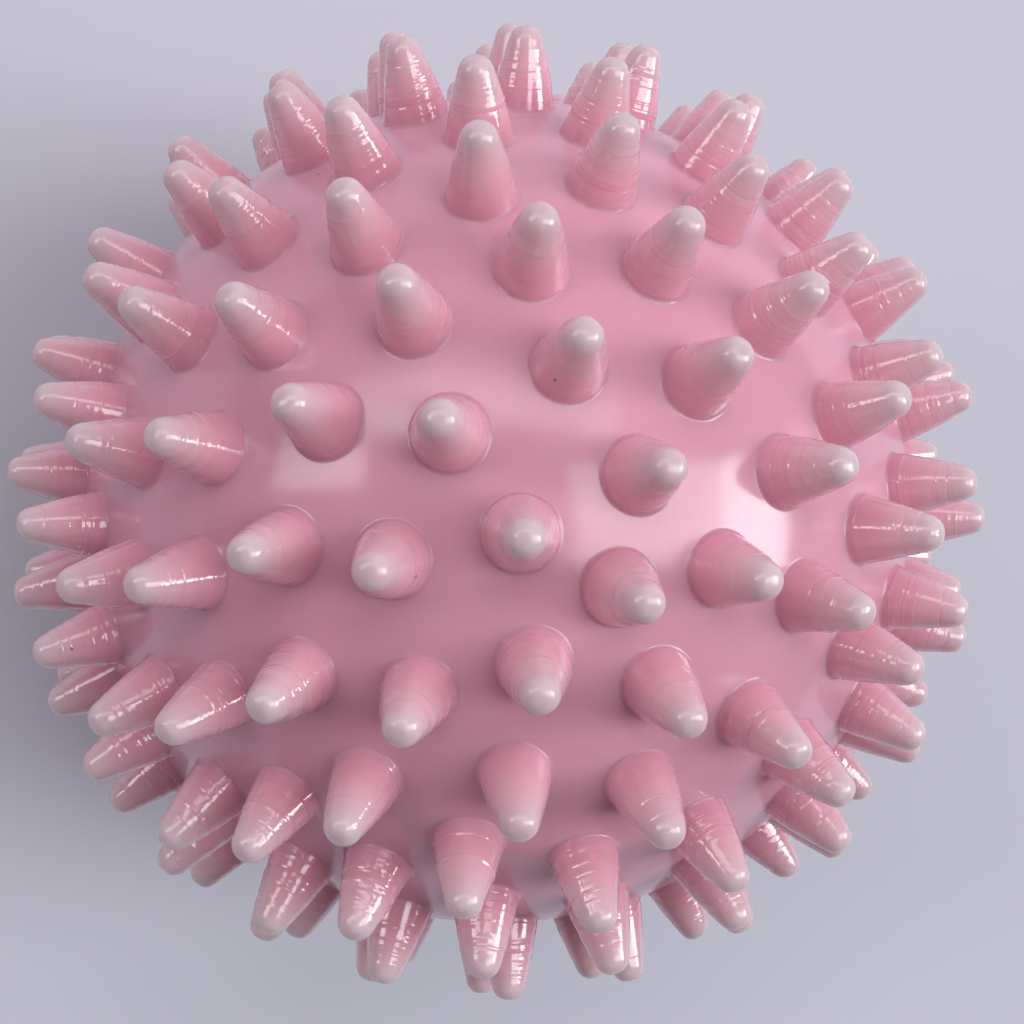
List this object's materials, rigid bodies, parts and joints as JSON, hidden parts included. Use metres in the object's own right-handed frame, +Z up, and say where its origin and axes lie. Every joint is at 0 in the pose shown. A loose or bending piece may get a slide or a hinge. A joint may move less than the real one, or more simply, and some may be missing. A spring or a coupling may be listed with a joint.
{
  "type": "massage ball",
  "caption": "Hollow soft vinyl massage ball covered in short blunt tapered spikes, with a plugged inflation valve at its bottom pole.",
  "frame": {"origin": "on the floor under the ball's centre, with the ball standing on the ring of five spikes around its valve", "axes": "+Z up along the pole axis that the spike rings and the valve share, away from the valve; +X and +Y level"},
  "size_m": [0.089, 0.0894, 0.089],
  "materials": {
    "skin_vinyl": "glossy soft vinyl",
    "valve_vinyl": "satin",
    "plug_vinyl": "satin"
  },
  "bodies": {
    "ball": {"skin": "skin_vinyl", "valve_body": "valve_vinyl"},
    "plug": {"valve_plug": "plug_vinyl"}
  },
  "joints": [
    {"name": "plug_pull", "type": "slide", "parent": "ball", "child": "plug", "axis": [0, 0, -1], "range_m": [0, 0.016]}
  ]
}
